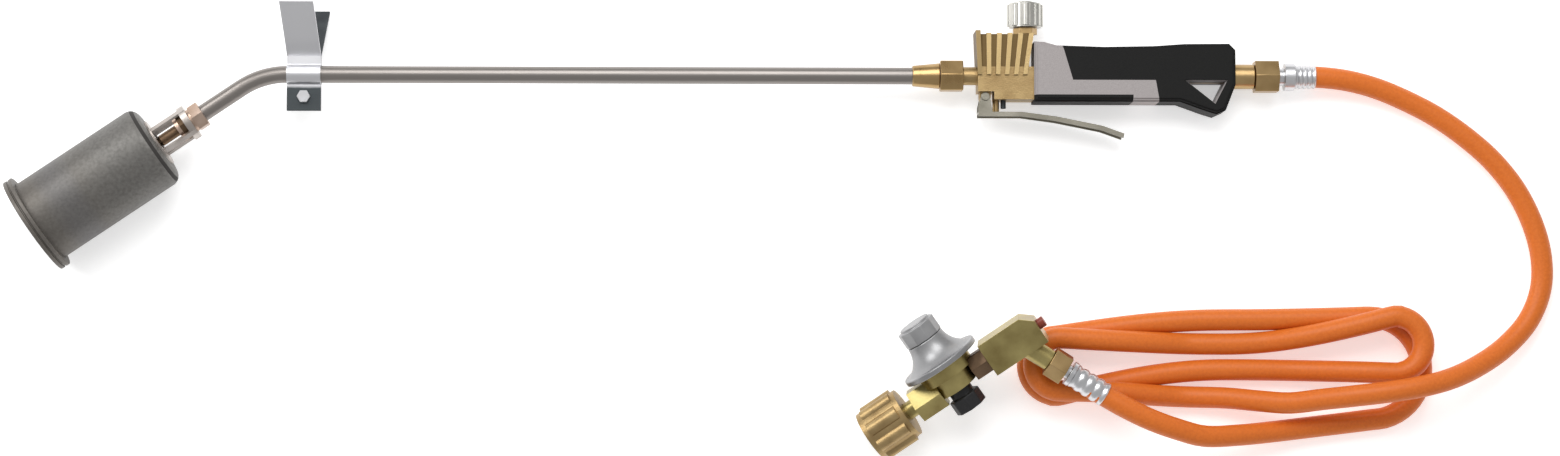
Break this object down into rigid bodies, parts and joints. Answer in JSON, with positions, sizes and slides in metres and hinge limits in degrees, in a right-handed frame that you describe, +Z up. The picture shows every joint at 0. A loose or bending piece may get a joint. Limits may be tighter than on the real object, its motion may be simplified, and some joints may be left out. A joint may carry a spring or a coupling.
{
  "type": "propane torch",
  "caption": "Long-neck propane torch with a cup burner, folding-plate stand, lever valve, hose in a hank and a cylinder regulator, laid flat.",
  "frame": {"origin": "on the floor under the middle of the torch's own box, without its hose and regulator", "axes": "+X from the burner to the hose end, +Y to the side that the flow knob points to, +Z up from the floor"},
  "size_m": [1.1441, 0.3386, 0.0761],
  "materials": {
    "burner_steel": "heat-stained satin steel",
    "neck_steel": "satin, lightly heat tinted",
    "zinc_steel": "bright zinc plate",
    "dark_steel": "black oxide",
    "brass": "machined, slightly dull",
    "dark_brass": "tarnished",
    "nickel": "satin nickel",
    "spring_steel": "drawn wire",
    "grey_shell": "fine texture",
    "black_grip": "soft touch",
    "seal_rubber": "smooth",
    "hose_rubber": "smooth orange rubber",
    "grey_cap": "satin grey",
    "red_button": "smooth"
  },
  "bodies": {
    "torch": {"burner_cup": "burner_steel", "mouth_rim": "burner_steel", "flame_holder": "burner_steel", "burner_cage": "burner_steel", "cage_nut": "dark_brass", "jet_holder": "brass", "jet": "dark_brass", "neck_tube": "neck_steel", "stand_plate_near": "zinc_steel", "stand_plate_far": "dark_steel", "stand_bolt": "zinc_steel", "stand_nut": "zinc_steel", "cone_sleeve": "brass", "tube_collar": "brass", "valve_body": "brass", "ribbed_housing": "brass", "stem_gland": "brass", "stem_seal": "seal_rubber", "lever_pin": "zinc_steel", "lever_stop": "dark_steel", "valve_spring": "spring_steel", "handle_shell_near": "grey_shell", "handle_shell_far": "grey_shell", "grip": "black_grip", "underside_strip": "black_grip", "handle_screws": "zinc_steel", "gas_tube": "brass", "rear_nipple": "brass", "hose_tail": "zinc_steel", "hose_ferrule": "zinc_steel", "hose_run": "hose_rubber", "hose_coil": "hose_rubber", "hose_end": "hose_rubber", "reg_ferrule": "zinc_steel", "reg_hose_tail": "zinc_steel", "safety_block": "brass", "reset_spring": "spring_steel", "outlet_gland": "dark_brass", "regulator_body": "brass", "diaphragm": "seal_rubber", "bonnet": "grey_cap", "regulator_spring": "spring_steel", "relief_cap": "black_grip", "inlet_nipple": "brass", "inlet_seal": "seal_rubber"},
    "neck_union": {"union_nut": "brass"},
    "knob": {"flow_knob": "nickel", "needle_stem": "nickel", "knob_cap": "nickel"},
    "lever": {"lever": "nickel"},
    "push_pin": {"push_pin": "brass", "poppet_seal": "seal_rubber"},
    "hose_swivel": {"hose_nut": "brass"},
    "regulator_swivel": {"reg_hose_nut": "brass"},
    "cylinder_nut": {"cylinder_nut": "brass"},
    "pressure_knob": {"adjusting_knob": "grey_cap", "adjusting_screw": "zinc_steel"},
    "reset_button": {"reset_button": "red_button"}
  },
  "joints": [
    {"name": "union_turn", "type": "hinge", "parent": "torch", "child": "neck_union", "pos_m": [0.21249, 0.04429, 0.02163], "axis": [0.9997, 0, -0.0244], "continuous": true},
    {"name": "flow_turn", "type": "hinge", "parent": "torch", "child": "knob", "pos_m": [0.26847, 0.08429, 0.02026], "axis": [0, 1, 0], "continuous": true},
    {"name": "lever_squeeze", "type": "hinge", "parent": "torch", "child": "lever", "pos_m": [0.23818, 0.02829, 0.021], "axis": [0.0244, 0, 0.9997], "range_deg": [0, 10], "stiffness_Nm_per_rad": 0.4},
    {"name": "push_pin_slide", "type": "slide", "parent": "torch", "child": "push_pin", "axis": [0, 1, 0], "range_m": [0, 0.0015], "deforming": ["valve_spring"]},
    {"name": "hose_nut_turn", "type": "hinge", "parent": "torch", "child": "hose_swivel", "pos_m": [0.44772, 0.04429, 0.01588], "axis": [0.9997, 0, -0.0244], "continuous": true},
    {"name": "regulator_nut_turn", "type": "hinge", "parent": "torch", "child": "regulator_swivel", "pos_m": [0.28972, -0.17098, 0.04397], "axis": [0.8464, -0.5283, -0.0668], "continuous": true},
    {"name": "cylinder_nut_turn", "type": "hinge", "parent": "torch", "child": "cylinder_nut", "pos_m": [0.1667, -0.2135, 0.02479], "axis": [0.8167, 0.5447, 0.1908], "continuous": true},
    {"name": "pressure_turn", "type": "hinge", "parent": "torch", "child": "pressure_knob", "pos_m": [0.18829, -0.14568, 0.04277], "axis": [-0.5728, 0.8052, 0.1536], "continuous": true},
    {"name": "reset_push", "type": "slide", "parent": "torch", "child": "reset_button", "axis": [-0.8167, -0.5447, -0.1908], "range_m": [0, 0.003], "stiffness_N_per_m": 300, "deforming": ["reset_spring"]}
  ],
  "couplings": [
    {"joint": "push_pin_slide", "follows": "lever_squeeze", "m_per_rad": 0.0083}
  ]
}
